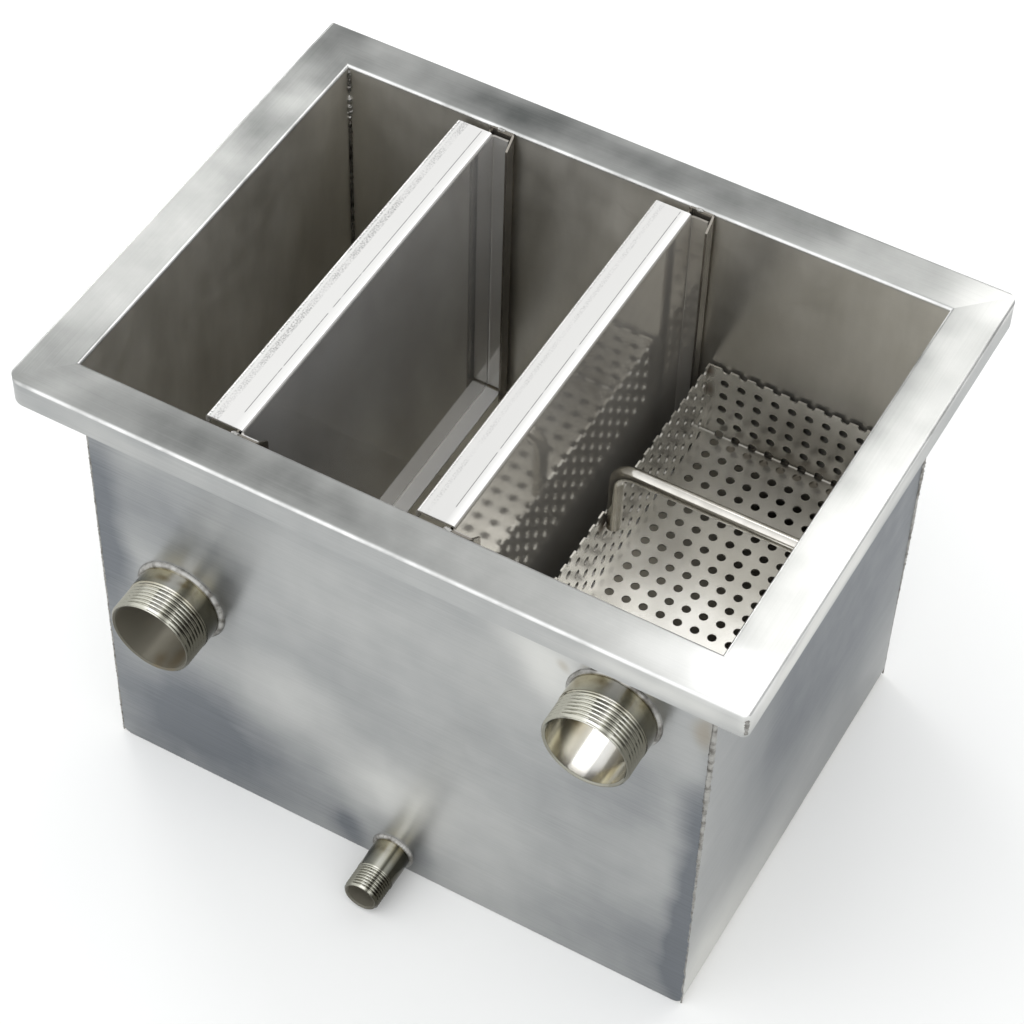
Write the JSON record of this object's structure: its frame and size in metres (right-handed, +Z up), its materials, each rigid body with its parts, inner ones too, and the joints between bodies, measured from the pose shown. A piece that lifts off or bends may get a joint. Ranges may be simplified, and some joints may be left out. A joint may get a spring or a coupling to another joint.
{
  "type": "grease trap",
  "caption": "Open stainless steel grease trap: folded tank with a turned-down rim, threaded inlet, outlet and drain, lift-out baffles in guides and a perforated basket with a handle.",
  "frame": {"origin": "middle of the tank's underside", "axes": "+X along the long side towards the inlet, +Y from the pipes' side to the back, +Z up"},
  "size_m": [0.4, 0.3095, 0.3],
  "materials": {
    "tank_steel": "satin mill finish with smudges",
    "pipe_steel": "turned, tinted by the welding heat",
    "weld_metal": "rippled weld bead",
    "guide_steel": "satin mill finish",
    "baffle_steel": "bright mill finish with scuffs",
    "basket_steel": "perforated mill finish",
    "handle_steel": "polished rod"
  },
  "bodies": {
    "tank": {"tank_wrap": "tank_steel", "front_panel": "tank_steel", "back_panel": "tank_steel", "inlet_pipe": "pipe_steel", "outlet_pipe": "pipe_steel", "drain_pipe": "pipe_steel", "inlet_weld": "weld_metal", "outlet_weld": "weld_metal", "drain_weld_bead": "weld_metal", "outlet_guide_front": "guide_steel", "outlet_guide_back": "guide_steel", "inlet_guide_front": "guide_steel", "inlet_guide_back": "guide_steel", "basket_tray": "basket_steel", "basket_side_left": "basket_steel", "basket_side_right": "basket_steel", "basket_handle": "handle_steel", "ledge_front": "guide_steel", "ledge_back": "guide_steel"},
    "outlet_baffle": {"outlet_baffle": "baffle_steel"},
    "inlet_baffle": {"inlet_baffle": "baffle_steel"}
  },
  "joints": [
    {"name": "outlet_baffle_lift", "type": "slide", "parent": "tank", "child": "outlet_baffle", "axis": [0, 0, 1], "range_m": [0, 0.19]},
    {"name": "inlet_baffle_lift", "type": "slide", "parent": "tank", "child": "inlet_baffle", "axis": [0, 0, 1], "range_m": [0, 0.19]}
  ]
}
